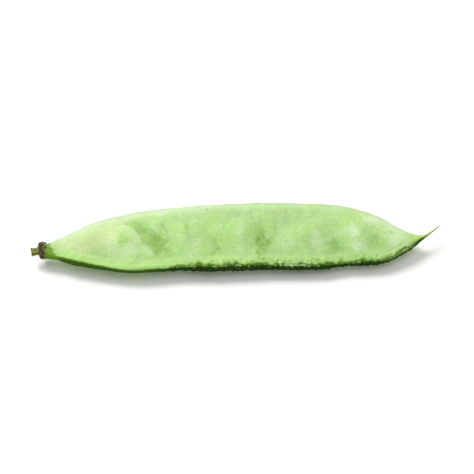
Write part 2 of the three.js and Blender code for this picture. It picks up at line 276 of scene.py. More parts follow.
pod = {
    # place along the pod; dorsal and ventral edge, in widths from the axis; half thickness, in shares
    "lines": [
        [0.0, -0.14, -0.3, 0.48],
        [0.045, -0.01, -0.36, 0.53],
        [0.11, 0.2, -0.44, 0.66],
        [0.21, 0.375, -0.515, 0.84],
        [0.34, 0.462, -0.478, 0.97],
        [0.5, 0.515, -0.44, 1.0],
        [0.65, 0.503, -0.435, 1.0],
        [0.775, 0.445, -0.4, 0.93],
        [0.855, 0.27, -0.34, 0.74],
        [0.915, 0.06, -0.19, 0.5],
        [0.955, 0.008, -0.042, 0.26],
        [1.0, 0.148, 0.13, 0.07],
    ],
    "halfThickness": 2.85 * mm,
    "bellyFullness": 0.85,
    "ventralRib": 1.05 * mm,
    "dorsalRib": 0.55 * mm,
    "ribShare": 0.45,  # of the half width, the most that a rib may take
    "dorsalWaves": (0.05 * mm, 14 * mm),  # height, pitch
    "ventralWaves": (0.14 * mm, 8 * mm),
    "unevenFrom": (0.02, 0.1),  # where along the pod waves and uneven skin start, and are full
    "unevenUntil": (0.95, 0.88),  # where they are gone, and still full
    "tipRounding": 0.004,
    "twist": (-4.5, 4),  # degrees about the length, at the stem and at the beak
    "stemLift": 0.9 * mm,
    "beakLift": 1.2 * mm,
    "liftedShare": 0.2,  # of the length, at each end
    "contactDepth": 0.45 * mm,  # how deep the underside is pressed flat
    "neck": {
        "dip": 0.25 * mm,  # a waist where the walls begin
        "dipWidth": 0.012,
        # where along the pod: at its axis, slope across, bend
        "dipLine": (0.024, -0.012, 0.008),
        "colourLine": (0.03, -0.012, 0.01),
        "colourWaver": (0.0035, 1.6 * mm),  # height, pitch
        "colourFade": 0.012,
        "collar": (0.07, 0.02),  # where the duller skin beside the neck starts, and where it is full
    },
    # place along, place across (1 is the dorsal edge), lift of the upper wall, lift of the lower wall
    "seeds": [
        [0.205, -0.02, 0.7 * mm, 0.55 * mm],
        [0.365, -0.05, 0.7 * mm, 0.55 * mm],
        [0.508, 0.0, 0.95 * mm, 0.55 * mm],
        [0.665, -0.1, 0.9 * mm, 0.55 * mm],
        [0.79, -0.05, 0.85 * mm, 0.5 * mm],
    ],
    "seedSize": (0.042, 0.42),  # half length, half width, in the same shares
    "seedFoot": 1.35,  # half sizes from a seed's middle to where the wall is flat again
    "seedRoom": (3 * mm, 8 * mm),  # half width of the pod where they start to show, and show in full
    # unevenness of the skin: height, pitch along, pitch round
    "dents": (0.3 * mm, 9 * mm, 7 * mm),
    "grain": (0.06 * mm, 1.9 * mm, 2 * mm),
    "edgeGrain": (0.06 * mm, 1.3 * mm, 1.2 * mm),
    "dentsAtRim": (-0.7, 2 * mm),  # change of the dents at the smooth edge, half width
    "edgeGrainRim": 0.9 * mm,  # half width, at the smooth edge
    "edgeGrainBand": (1.9 * mm, 1.2 * mm),  # from the rough edge's seam, half width
    "edgeGrainMore": 1.3,  # times as strong there as at the smooth edge
    "skinRoom": (1 * mm, 5 * mm),  # half width, as for the seeds
    "edgeRoom": (3.2 * mm, 0.05),  # half width where the edge's marks are full size, their least size
    "stations": 620,
    "girth": 154,
    "endCrowding": 0.4,  # how much closer the rows are at the ends
    "wallCrowding": 0.35,  # and the columns on the walls
    "seamCrowding": 0.2,  # and on the rough edge
    # a fold in the upper wall near the stem, from and to (place along, place across)
    "fold": {
        "start": (0.182, 0.8),
        "stop": (0.28, -0.48),
        "depth": 0.65 * mm,
        "step": 1.8 * mm,  # how far the wall takes to go down
        "reach": 7.5 * mm,  # and to come back up, on the beak side
        "halfWidth": 0.9,  # of the wall there, as a share of the widest
        "fadeIn": (-0.1, 0.25),  # in shares of the way from start to stop
        "fadeOut": (1.4, 0.9),
        "waver": (0.3 * mm, 5),  # height, waves from start to stop
        "crestHighlight": (-1.2 * mm, 1.4 * mm),  # a painted highlight along the fold's ridge: place on the stem side, half width
        # wrinkles that fan out from the fold's start: direction in degrees, length
        "wrinkles": [[-24, 8 * mm], [-30, 12 * mm], [-36, 15 * mm], [-42, 16 * mm], [-48, 15 * mm]],
        "wrinkleDepth": 0.15 * mm,
        "wrinkleWidth": 0.36 * mm,
        "wrinkleWaver": (0.35 * mm, 2.5 * mm),  # height, pitch
        "wrinkleFadeIn": (0.6 * mm, 2.5 * mm),
        "wrinkleFadeOut": 3 * mm,
    },
    # hollows in the upper wall: place along, place across, their half sizes, depth
    "hollows": [
        [0.293, -0.12, 5 * mm / podLength, 0.42, 0.45 * mm],
        [0.436, -0.45, 3 * mm / podLength, 0.3, 0.25 * mm],
        [0.55, -0.22, 4.5 * mm / podLength, 0.5, 0.5 * mm],
        [0.727, -0.35, 4.5 * mm / podLength, 0.4, 0.4 * mm],
        [0.83, -0.2, 3.5 * mm / podLength, 0.45, 0.45 * mm],
    ],
    "hollowWaver": (0.008, 0, 30, 2.5),  # along, across; waves along the pod, waves to a half width
    "roughEdge": {
        "from": (0.25, 0.36),  # where along the pod it turns rough
        "until": (0.988, 0.95),  # where it is smooth again and where still rough
        "beakward": (0.835, 0.885),  # where it opens into a pale strip between two dark lines
        "underBeak": (0.915, 0.945),  # where it closes to one dark line
        "border": (1.35 * mm, 0.8 * mm, 1.45 * mm),  # from the seam: at the stem, then smooth, then rough
        "settles": (0.13, 0.24),  # where along the pod it goes from the first to the second
        "borderChange": (-0.1, 0.6),  # nearer in the open strip, further under the beak
        "raggedness": (0.42 * mm, 0.1),  # where rough, the share of it where smooth
        "raggedPitch": 7 * mm,
        "fringePitch": (2.1 * mm, 3 * mm),  # along the pod and round it
        "heights": {
            "warts": 0.2 * mm,
            "teeth": 0.34 * mm,
            "strays": 0.16 * mm,
            "furrow": -0.1 * mm,
            "groove": -0.16 * mm,
        },
        "wartPitch": (0.85 * mm, 0.6 * mm),  # along the pod and round it
        "wartSize": 0.72,  # radius in pitches, as are the sizes below
        "wartBorder": (-0.35 * mm, 0.25 * mm),  # they fade in this far inside the border
        "wartSeam": (0.1 * mm, 0.35 * mm),  # and this far from the seam
        "toothRow": (0.85 * mm, 0.3 * mm),  # from the seam, half width
        "toothPitch": 1.45 * mm,
        "toothSize": 0.6,
        "strayPitch": (1.0 * mm, 1.5 * mm),
        "straySize": 0.6,
        "strayReach": 2.8 * mm,
        "strayBorder": (-0.2 * mm, 0.5 * mm),  # they fade in this far beyond the border
        "strayPatches": (4 * mm, 3 * mm),  # pitch along and round
        "strayAmount": (-0.5, 0.4),  # the noise where there is none, and where there are all
        "strayLoss": 0.6,  # before the beak
        "latticeRows": (40, 70),  # where the warts and the strays read their knobs
        "furrowWidth": 0.3 * mm,
        "furrowPitch": 1.7 * mm,
        "furrowBreaks": (0.5, -0.3),  # how much the noise breaks it, the change before the beak
        "furrowLeast": (0.6, 0.3),  # of its depth: away from the beak, where the edge is smooth
        "furrowDarker": 0.2,  # how much darker its painted shade gets before the beak
        "tops": (0.5, 0.45, 0.8),  # the warts' share in them, the height where they show, and in full
        "seamWidth": 0.24 * mm,
        "dashLine": (1.0 * mm, 0.2 * mm),  # a broken painted highlight along the seam's lip: from the seam, half width
        "dashPitch": 1.6 * mm,
        "dashAmount": (-0.1, 0.4),
        "dashBelow": 0.5,  # how strong it is below the seam
        "dashWaver": (0.12 * mm, 2 * mm),  # height, pitch
        "paleBand": (3.2 * mm, 1.2 * mm),  # on the wall: from the seam, half width
        "paleEnds": (0.95, 0.87),
        "seamShade": (1.3 * mm, 0.2 * mm),  # above the seam, where its painted shade starts and is full
        "beakStrip": (0.1 * mm, 0.5 * mm),  # the same for the pale strip before the beak
        "beakStripFade": 0.3 * mm,  # in from the border
        "maskUnit": 2 * mm,  # the distance in from the border that the coats take for 1
        "flecky": [[0.43, 0.05], [0.61, 0.07], [0.91, 0.09]],  # where the tops have painted highlight: place, half length
        "fleckyLeast": (0.25, 0.3),  # how strong the painted highlight on tops and dashes is elsewhere
    },
    # patches on the upper wall: place along, place across, half sizes, strength
    "patches": {
        "wornAndShaded": [  # where the bloom is worn off, and painted shade in the hollows beside the seeds' swellings and the fold
            [0.225, 0.5, 0.012, 0.16, 0.6], [0.247, 0.3, 0.015, 0.18, 0.85],
            [0.276, 0.1, 0.024, 0.24, 0.55], [0.294, -0.24, 0.026, 0.3, 1.5],
            [0.11, -0.05, 0.035, 0.5, 0.4], [0.24, -0.25, 0.02, 0.25, 0.45],
            [0.14, 0.15, 0.03, 0.5, 0.35], [0.585, 0.1, 0.018, 0.4, 0.5],
            [0.485, 0.4, 0.02, 0.2, 0.35], [0.5, 0.3, 0.09, 0.25, 0.2],
            [0.64, 0.35, 0.06, 0.35, 0.3], [0.545, 0.1, 0.014, 0.3, 0.45],
            [0.547, -0.4, 0.02, 0.3, 1.7], [0.735, -0.5, 0.026, 0.24, 1.0],
            [0.83, -0.32, 0.013, 0.26, 0.7], [0.365, 0.2, 0.008, 0.5, 0.7],
            [0.436, -0.5, 0.02, 0.22, 0.8], [0.13, -0.06, 0.028, 0.26, 0.75],
            [0.13, -0.55, 0.05, 0.25, 0.55], [0.875, 0.35, 0.008, 0.12, 0.5],
        ],
        "bloomedAndLit": [  # where it is thick, and painted highlight where the light falls on the upper left and the beak-side shoulder
            [0.1, 0.5, 0.06, 0.5, 0.3], [0.19, 0.65, 0.05, 0.3, 0.4],
            [0.18, -0.2, 0.02, 0.3, 0.5], [0.485, -0.1, 0.014, 0.2, 0.5],
            [0.69, -0.05, 0.014, 0.3, 0.8], [0.693, -0.55, 0.012, 0.18, 0.6],
            [0.79, -0.58, 0.014, 0.2, 0.9], [0.225, -0.45, 0.045, 0.28, 0.8],
            [0.16, 0.2, 0.03, 0.25, 0.4], [0.3, 0.6, 0.04, 0.3, 0.5],
            [0.385, -0.45, 0.025, 0.3, 0.6], [0.504, 0.1, 0.014, 0.4, 0.4],
            [0.49, -0.55, 0.025, 0.2, 0.55], [0.615, -0.4, 0.014, 0.45, 0.55],
            [0.677, -0.3, 0.012, 0.35, 0.7], [0.777, -0.25, 0.018, 0.5, 0.85],
            [0.84, 0.6, 0.06, 0.35, 1.1], [0.895, -0.2, 0.035, 0.7, 1.4],
        ],
        "dull": [  # where the skin is greyer
            [0.47, 0.5, 0.13, 0.4, 1.0], [0.62, 0.45, 0.09, 0.4, 1.0],
            [0.35, 0.55, 0.05, 0.35, 0.8],
        ],
        "warm": [  # where it is yellower
            [0.09, 0.0, 0.07, 0.9, 1.2], [0.17, 0.35, 0.05, 0.45, 0.8],
            [0.128, -0.1, 0.012, 0.15, 0.6],
        ],
    },
    "patchWaver": (0.008, 0.15, 40, 3),
    "patchLimit": 1.6,
    "lowerPatches": (11 * mm, 8 * mm),  # pitch along and round, on the lower wall
    "lowerAmount": (0.1, 1),  # the noise where such a patch starts, and is full
    "warmBelow": 0.5,  # of the upper wall's warm patches, what the lower wall has
    "veinPitch": (1.7 * mm, 6 * mm),
    "veinSlant": (0.5, 0.4),
    "veinBand": (0.1, 0.2),  # the noise at a vein's middle, a vein's half width in it
    "rimHighlightBand": (1.6 * mm, 3 * mm),  # a painted highlight along the smooth edge: from it, half width
    "rimWeakens": (0.3, 0.6),
    "rimLoss": 0.4,  # by how much
    "rimEnds": (0.95, 0.89),
    # small dark specks on the upper wall: place along, place across, radius, strength
    "specks": [
        [0.409, 0.74, 0.6 * mm, 0.6],
        [0.874, 0.22, 0.4 * mm, 0.7],
        [0.241, -0.6, 0.25 * mm, 0.6],
        [0.5, -0.24, 0.5 * mm, 0.3],
    ],
    "fresh": (0.405, 0.64, 0.21),
    # coats over the fresh green: colour, the mask value where it starts to show, the one where it is full,
    # and how much it covers then
    "coats": {
        "cool": ((0.415, 0.65, 0.26), -0.12, 0.12, 1),
        "yellow": ((0.43, 0.65, 0.18), -0.02, 0.16, 0.6),
        # worn bloom, and painted shade
        "wornAndShaded": (darkGreen, 0, 1.35, 0.85),
        # bloom, and painted highlight
        "bloomAndHighlight": (paleGreen, 0.1, 1.2, 0.75),
        "warm": ((0.62, 0.7, 0.38), 0, 1.2, 0.55),
        "dull": ((0.37, 0.52, 0.28), 0, 1.2, 0.35),
        "veins": (paleGreen, 0, 1, 0.14),
        "paleGrain": (paleGreen, 0.03, 0.2, 0.35),
        "darkGrain": (darkGreen, -0.03, -0.2, 0.45),
        # painted shade in the wrinkles
        "creaseShade": (darkGreen, 0, 1, 0.25),
        "paleBand": ((0.51, 0.75, 0.29), 0.2, 1.1, 0.7),
        "nearStrip": ((0.38, 0.65, 0.17), -1.2, 0.2, 0.85),
        "olive": ((0.16, 0.31, 0.03), -0.75, 0.25, 0.8),
        # the seam's darker green, darkened further as painted shade
        "strip": ((0.07, 0.165, 0.01), -0.12, 0.16, 1),
        # painted shade
        "shade": ((0.01, 0.035, 0.003), 0.2, 0.75, 0.95),
        "wart": ((0.13, 0.26, 0.035), 0.35, 0.8, 0.55),
        "stray": (fleckGreen, 0.3, 0.8, 0.4),
        "beakStrip": ((0.22, 0.39, 0.06), 0.3, 0.9, 0.85),
        # painted highlights
        "dashHighlight": (fleckGreen, 0.15, 0.6, 0.75),
        "fleckHighlight": (fleckGreen, 0.2, 0.6, 0.75),
        # painted highlight along the smooth edge
        "rim": ((0.61, 0.73, 0.5), 0.1, 1.1, 0.66),
        "collar": (darkGreen, 0.1, 1, 0.3),
        "neck": ((0.13, 0.27, 0.012), 0.05, 1, 0.85),
        "beak": ((0.5, 0.7, 0.14), 0.905, 0.955, 0.75),
        # painted shade in the furrow
        "furrow": ((0.03, 0.08, 0.005), 0.4, 0.9, 0.65),
        "pit": ((0.08, 0.14, 0.03), 0.11, 0.04, 0.35),
        "speck": ((0.08, 0.14, 0.03), 0, 1, 1),
    },
    # noise: scale, detail, roughness, distortion
    "textures": {
        "broad": (130, 5, 0.62, 0.6),
        "fine": (430, 5, 0.68, 0.5),
        "mottle": (900, 3, 0.6),
        "grain": (1500, 4, 0.72),
        "down": (5200, 2, 0.6),
        "pitted": (90, 1, 0.5),
    },
    "pitScale": 420,
    "pitted": (0, 0.12),  # the noise where pits start to show, and show in full
    "stripEnd": (-0.1, 0.1),  # the way in from the border where the wall ends and the strip is full
    "coloursBeakward": (0.8, 0.88),  # where along the pod the strip's colours change
    "coloursStemward": (0.22, 0.1),
    "grainBump": (0.22 * mm, 0.8),  # height, strength
    "downBump": (0.05 * mm, 0.5),
    "roughness": (0.52, 0.12, 0.2, 0.15),  # plain, more in the bloom, by the fine noise, more on the strip
    "surface": {
        "Specular IOR Level": 0.08,
        "Subsurface Weight": 0.1,
        "Subsurface Radius": (0.4, 1.0, 0.2),
        "Subsurface Scale": 1 * mm,
        "Sheen Weight": 0.025,
        "Sheen Roughness": 0.5,
    },
}


def podGrid():
    # row s lies at (1 - c) s + c (0.5 - 0.5 cos(pi s)) of the length, with c the crowding at the ends;
    # column a lies at the angle a + seamCrowding sin a + wallCrowding / 2 sin 2a, with 0 at the smooth edge
    step = np.linspace(0, 1, pod["stations"])[:, None]
    turn = turns(pod["girth"])
    crowding = pod["endCrowding"]
    grid = SimpleNamespace()
    grid.along = (1 - crowding) * step + crowding * (0.5 - 0.5 * np.cos(math.pi * step))
    angle = turn + pod["seamCrowding"] * np.sin(turn) + pod["wallCrowding"] / 2 * np.sin(2 * turn)
    grid.across = np.cos(angle)
    grid.side = np.sign(np.round(np.sin(angle), 9))  # 1 on the upper wall, -1 on the lower one
    grid.upper = (grid.side + 0 * grid.along) > 0
    grid.uneven = smoothStep(grid.along, *pod["unevenFrom"]) * smoothStep(grid.along, *pod["unevenUntil"])
    return grid


def podEdges(grid):
    # both edges are smooth lines through their knots plus waves of noise; the section lies at their middle,
    # and its half width and half thickness fall to 0 at the tip by sqrt((1 - along) / tipRounding)
    along = grid.along
    knots, dorsalKnots, ventralKnots, thickKnots = np.array(pod["lines"]).T
    width = (podHigh.y - podLow.y) / (dorsalKnots.max() - ventralKnots.min())
    kinds = [
        [dorsalKnots, pod["dorsalWaves"], 3, 2],
        [ventralKnots, pod["ventralWaves"], 5, 3],
    ]
    edges = []
    for values, (height, pitch), seed, octaves in kinds:
        waves = height * grid.uneven * fractal(podLength * along / pitch, 0 * along, seed, octaves)
        edges.append(smoothLine(knots, values, along) * width + waves)
    dorsal, ventral = edges
    offset = (podHigh.y + podLow.y) / 2 - width * (dorsalKnots.max() + ventralKnots.min()) / 2
    tip = np.sqrt(np.clip((1 - along) / pod["tipRounding"], 0, 1))
    grid.middle = (dorsal + ventral) / 2 + offset
    grid.halfWidth = (dorsal - ventral) / 2 * tip
    grid.halfThick = smoothLine(knots, thickKnots, along) * pod["halfThickness"] * tip


def podWall(grid):
    # wall height: the 4-norm of a lens, thick (1 - c^2)^fullness, and of a round rib along each edge, in an
    # oval, plus lift (1 - (d / foot)^2)^2 over each seed at d half sizes from it
    across, halfWidth, thick = grid.across, grid.halfWidth, grid.halfThick
    fullRib = np.where(across < 0, pod["ventralRib"], pod["dorsalRib"])
    ribRadius = np.minimum(fullRib, halfWidth * pod["ribShare"])
    fromEdge = halfWidth * (1 - np.abs(across))
    lens = thick * (1 - across ** 2) ** pod["bellyFullness"]
    rib = np.sqrt(np.maximum(0, ribRadius ** 2 - (ribRadius - fromEdge) ** 2))
    oval = thick * np.sqrt(1 - across ** 2)
    wall = np.minimum((lens ** 4 + rib ** 4) ** 0.25, np.maximum(oval, rib))
    broad = smoothStep(halfWidth, *pod["seedRoom"])
    halfAlong, halfAcross = pod["seedSize"]
    for placeAlong, placeAcross, upperLift, lowerLift in pod["seeds"]:
        away = np.hypot((grid.along - placeAlong) / halfAlong, (across - placeAcross) / halfAcross)
        swelling = np.maximum(0, 1 - (away / pod["seedFoot"]) ** 2) ** 2
        wall = wall + broad * swelling * np.where(grid.side < 0, lowerLift, upperLift)
    return wall


def foldDepth(grid):
    # depth * smooth step over the fold's line * e^(-2 distance / reach) beyond it, plus the wrinkles, and
    # the masks of the sunk side, the wrinkles and the painted highlight on the crest
    fold = pod["fold"]
    reachAcross = fold["halfWidth"] * (podHigh.y - podLow.y) / 2
    start, stop = np.array([fold["start"], fold["stop"]]) * [podLength, reachAcross]
    span = np.linalg.norm(stop - start)
    way = (stop - start) / span
    right, up = podLength * grid.along - start[0], grid.halfWidth * grid.across - start[1]
    passed = (right * way[0] + up * way[1]) / span
    height, waves = fold["waver"]
    beyond = up * way[0] - right * way[1] + height * fractal(passed * waves, 0 * passed, 8, 3)
    within = smoothStep(passed, *fold["fadeIn"]) * smoothStep(passed, *fold["fadeOut"]) * grid.upper
    drop = smoothStep(beyond, -fold["step"] / 2, fold["step"] / 2)
    drop = within * drop * np.exp(-2 * np.maximum(beyond, 0) / fold["reach"])
    creased = wrinkleFan(right, up) * grid.upper
    depth = fold["depth"] * drop + fold["wrinkleDepth"] * creased
    # the crest's mask is a painted highlight along the fold's ridge
    return depth, {"folded": drop, "creased": creased, "crestHighlight": within * bell(beyond, *fold["crestHighlight"])}


def wrinkleFan(right, up):
    # the deepest of bell(distance from a ray / width), which starts and ends smoothly along the ray
    fold = pod["fold"]
    height, pitch = fold["wrinkleWaver"]
    deepest = np.zeros_like(right + up)
    for number, (turn, reach) in enumerate(fold["wrinkles"]):
        cosine, sine = math.cos(math.radians(turn)), math.sin(math.radians(turn))
        out = right * cosine + up * sine
        off = up * cosine - right * sine
        off = off + height * fractal(out / pitch, 0 * out + number, 9, 2)
        ends = smoothStep(out, *fold["wrinkleFadeIn"]) * smoothStep(reach - out, 0, fold["wrinkleFadeOut"])
        deepest = np.maximum(deepest, ends * bell(off, 0, fold["wrinkleWidth"]))
    return deepest


def spots(grid, rows, waver, seed, octaves):
    # the sum of strength * bell(distance from the middle in half sizes), at places that noise has shifted
    shiftAlong, shiftAcross, wavesAlong, wavesAcross = waver
    noiseAlong, noiseAcross = grid.along * wavesAlong, grid.across * wavesAcross
    along = grid.along + shiftAlong * fractal(noiseAlong, noiseAcross, seed, octaves)
    across = grid.across + shiftAcross * fractal(noiseAlong, noiseAcross, seed + 1, octaves)
    total = np.zeros_like(along)
    for placeAlong, placeAcross, halfAlong, halfAcross, strength in rows:
        away = np.hypot((along - placeAlong) / halfAlong, (across - placeAcross) / halfAcross)
        total = total + strength * bell(away)
    return total


def standWalls(grid, wall):
    # point: (x, middle + halfWidth cos a cos twist, axis + lift + halfWidth cos a sin twist + side * wall),
    # with both ends lifted by lift * (1 - distance / liftedShare)^2, and the lowest wall too low by
    # contactDepth
    along = grid.along
    twist = np.radians(pod["twist"][0] + (pod["twist"][1] - pod["twist"][0]) * along)
    lift = pod["stemLift"] * np.maximum(0, 1 - along / pod["liftedShare"]) ** 2
    lift = lift + pod["beakLift"] * np.maximum(0, 1 - (1 - along) / pod["liftedShare"]) ** 2
    slope = grid.halfWidth * grid.across * np.sin(twist)
    axisHeight = -(lift + slope - wall).min() - pod["contactDepth"]
    y = grid.middle + grid.halfWidth * grid.across * np.cos(twist)
    z = axisHeight + lift + slope + grid.side * wall
    return np.stack([podLow.x + podLength * along + 0 * y, y, z], axis=-1)


def measureSkin(grid, points):
    # distances over the skin: along the pod, round the section from the seam (negative below it), and to
    # the smooth edge; room: the size of all that is on the edge, less where the pod is narrow
    arc = np.cumsum(np.linalg.norm(points - np.roll(points, 1, axis=1), axis=2), axis=1)
    seam = pod["girth"] // 2
    grid.girthway = arc[:, seam:seam + 1] - arc
    grid.fromSmooth = np.minimum(arc - arc[:, :1], arc[:, -1:] - arc)
    grid.runway = podLength * grid.along + 0 * grid.girthway
    roomy, least = pod["edgeRoom"]
    grid.room = np.clip(grid.halfWidth / roomy, least, 1)


def skinNoise(grid, pitchAlong, pitchRound, seed, octaves):
    # fractal noise whose pitches are lengths on the skin
    return fractal(grid.runway / pitchAlong, grid.girthway / pitchRound, seed, octaves)


def measureEdge(grid):
    # rough: how rough the edge is; border: the distance from the seam to the pale wall, which is its place
    # + raggedness * noise of several sizes, all * (1 + change before the beak + change under it)
    edge = pod["roughEdge"]
    grid.above = grid.girthway / grid.room
    grid.fromSeam = np.abs(grid.above)
    grid.wallRow = np.where(grid.girthway > 0, 0.5, 9.5)  # each wall has a row of the noise to itself
    grid.rough = smoothStep(grid.along, *edge["from"]) * smoothStep(grid.along, *edge["until"])
    grid.beakward = smoothStep(grid.along, *edge["beakward"])
    grid.underBeak = smoothStep(grid.along, *edge["underBeak"])
    ragged = wallNoise(grid, edge["raggedPitch"], 27) + skinNoise(grid, *edge["fringePitch"], 24, 3)
    stemPlace, smoothPlace, roughPlace = edge["border"]
    place = stemPlace + (smoothPlace - stemPlace) * smoothStep(grid.along, *edge["settles"])
    place = place + (roughPlace - smoothPlace) * grid.rough
    raggedness, whereSmooth = edge["raggedness"]
    place = place + raggedness * atLeast(whereSmooth, grid.rough) * ragged
    before, under = edge["borderChange"]
    grid.border = place * (1 + before * grid.beakward + under * grid.underBeak)


def wallNoise(grid, pitch, seed):
    # noise that changes along the pod only, and is another on each wall
    return softNoise(grid.runway / pitch, grid.wallRow, seed)


def edgeLumps(grid):
    # fields of knobs and bells: warts crowd inside the border, taller ones stand in a row, strays thin out
    # with a bell of the distance beyond the border, a furrow that noise breaks follows the border, and a
    # groove follows the seam
    edge = pod["roughEdge"]
    beyond = grid.fromSeam - grid.border
    pitchAlong, pitchRound = edge["wartPitch"]
    inside = smoothStep(-beyond, *edge["wartBorder"]) * smoothStep(grid.fromSeam, *edge["wartSeam"])
    wartRow, strayRow = edge["latticeRows"]
    warts = knobs(grid.runway / pitchAlong, grid.above / pitchRound + wartRow, edge["wartSize"], 12)
    teeth = knobs(grid.runway / edge["toothPitch"], grid.wallRow, edge["toothSize"], 11)
    teeth = teeth * bell(grid.fromSeam, *edge["toothRow"])
    pitchAlong, pitchRound = edge["strayPitch"]
    strays = knobs(grid.runway / pitchAlong, grid.girthway / pitchRound + strayRow, edge["straySize"], 13)
    patchy = smoothStep(skinNoise(grid, *edge["strayPatches"], 26, 2), *edge["strayAmount"])
    thinning = bell(np.maximum(beyond, 0), 0, edge["strayReach"]) * smoothStep(beyond, *edge["strayBorder"])
    broken, change = edge["furrowBreaks"]
    breaks = (broken + change * grid.beakward) * wallNoise(grid, edge["furrowPitch"], 19)
    awayFromBeak, whereSmooth = edge["furrowLeast"]
    furrow = bell(beyond, 0, edge["furrowWidth"]) * (atLeast(awayFromBeak, grid.beakward) + breaks)
    return {
        "warts": grid.rough * inside * warts,
        "teeth": grid.rough * teeth,
        "strays": grid.rough * thinning * patchy * strays * (1 - edge["strayLoss"] * grid.beakward),
        "furrow": atLeast(whereSmooth, grid.rough) * furrow,
        "groove": bell(grid.fromSeam, 0, edge["seamWidth"]),
    }


def edgeMasks(grid, lumps):
    # inside: the way in from the border, in mask units; flecks: painted highlight on the tops of the lumps;
    # dashes: painted highlight, a bell round their line, broken by noise; others: smooth steps and bells of
    # the distance from seam or border
    edge = pod["roughEdge"]
    above, inwards = grid.above, grid.border - grid.fromSeam
    shown = 1 - grid.underBeak
    flecky = np.clip(sum(bell(grid.along, *stretch) for stretch in edge["flecky"]), 0, 1) * shown
    wartShare, shows, full = edge["tops"]
    tops = smoothStep(lumps["teeth"] + wartShare * lumps["warts"], shows, full)
    height, pitch = edge["dashWaver"]
    dashLine = bell(grid.fromSeam - height * wallNoise(grid, pitch, 28), *edge["dashLine"])
    pieces = smoothStep(wallNoise(grid, edge["dashPitch"], 29), *edge["dashAmount"])
    fainter = np.where(above > 0, 1, edge["dashBelow"])
    leastTops, leastDashes = edge["fleckyLeast"]
    beakStrip = smoothStep(inwards, 0, edge["beakStripFade"]) * smoothStep(above, *edge["beakStrip"])
    pale = bell(grid.fromSeam, *edge["paleBand"]) * (above > 0)
    return {
        "inside": np.clip(inwards / edge["maskUnit"], -3, 1),
        "rough": grid.rough + 0 * above,
        "warts": lumps["warts"],
        "strays": lumps["strays"],
        "furrow": lumps["furrow"] * (1 + edge["furrowDarker"] * grid.beakward),
        # painted highlights on the lumps' tops and along the seam's lip
        "fleckHighlights": tops * atLeast(leastTops, flecky),
        "dashHighlights": grid.rough * dashLine * pieces * atLeast(leastDashes, flecky) * fainter * shown,
        # painted shade on the strip towards the seam
        "seamSide": smoothStep(above, *edge["seamShade"]),
        "beakStrip": grid.beakward * shown * beakStrip,
        "paleBand": pale * smoothStep(grid.along, *edge["paleEnds"]),
    }


def skinRelief(grid):
    # the sum of share * height * noise of the dents, the grain and the edge grain, less towards the ends,
    # minus dip * bell(distance from the line round the neck / width)
    change, rimWidth = pod["dentsAtRim"]
    atRim = bell(grid.fromSmooth, 0, pod["edgeGrainRim"])
    atSeam = pod["edgeGrainMore"] * bell(np.abs(grid.girthway), *pod["edgeGrainBand"])
    uneven = grid.uneven * smoothStep(grid.halfWidth, *pod["skinRoom"])
    kinds = [
        ["dents", 15, 3, 1 + change * bell(grid.fromSmooth, 0, rimWidth)],
        ["grain", 17, 3, 1],
        ["edgeGrain", 14, 2, atRim + atSeam],
    ]
    height = 0
    for kind, seed, octaves, share in kinds:
        tall, pitchAlong, pitchRound = pod[kind]
        height = height + uneven * share * tall * skinNoise(grid, pitchAlong, pitchRound, seed, octaves)
    neck = pod["neck"]
    return height - neck["dip"] * bell(grid.along, bentLine(neck["dipLine"], grid.across), neck["dipWidth"])


def patches(grid, key, seed):
    # the spots of one kind, cut off at the limit
    return np.clip(spots(grid, pod["patches"][key], pod["patchWaver"], seed, 4), 0, pod["patchLimit"])


def speckMask(grid):
    # the deepest strength * bell(distance from a speck's middle / radius)
    deepest = np.zeros_like(grid.across * grid.along)
    for placeAlong, placeAcross, radius, strength in pod["specks"]:
        away = np.hypot((grid.along - placeAlong) * podLength, (grid.across - placeAcross) * grid.halfWidth)
        deepest = np.maximum(deepest, strength * bell(away, 0, radius))
    return deepest * grid.upper


def wallMasks(grid):
    # patches above and smooth steps of noise below; neck: how far the place is short of a line that bends
    # round the neck; veins: a bell of noise stretched along slanting lines
    along, across, runway, girthway = grid.along, grid.across, grid.runway, grid.girthway
    wild, lower = skinNoise(grid, *pod["lowerPatches"], 21, 4), pod["lowerAmount"]
    pitchAlong, pitchRound = pod["veinPitch"]
    climb, fall = pod["veinSlant"]
    slanting = (runway + climb * girthway) / pitchAlong, (girthway - fall * runway) / pitchRound
    neck = pod["neck"]
    height, pitch = neck["colourWaver"]
    neckLine = bentLine(neck["colourLine"], across) + height * skinNoise(grid, pitch, pitch, 36, 3)
    rimHighlightShare = 1 - pod["rimLoss"] * smoothStep(along, *pod["rimWeakens"])
    rimHighlightShare = rimHighlightShare * smoothStep(along, *pod["rimEnds"])
    return {
        # on the upper wall: worn bloom with painted shade, and bloom with painted highlight; below: patches
        # of noise
        "wornAndShaded": np.where(grid.upper, patches(grid, "wornAndShaded", 31), smoothStep(wild, *lower)),
        "bloomedAndLit": np.where(grid.upper, patches(grid, "bloomedAndLit", 33), smoothStep(-wild, *lower)),
        "warm": patches(grid, "warm", 35) * atLeast(pod["warmBelow"], grid.upper),
        "dull": patches(grid, "dull", 37) * grid.upper,
        # painted highlight along the smooth edge
        "rimHighlight": bell(grid.fromSmooth, *pod["rimHighlightBand"]) * rimHighlightShare,
        "neck": smoothStep(neckLine - along, 0, neck["colourFade"]),
        "collar": smoothStep(along, *neck["collar"]),
        "along": along,
        "veins": bell(fractal(*slanting, 23, 2), *pod["veinBand"]),
        "specks": speckMask(grid),
    }


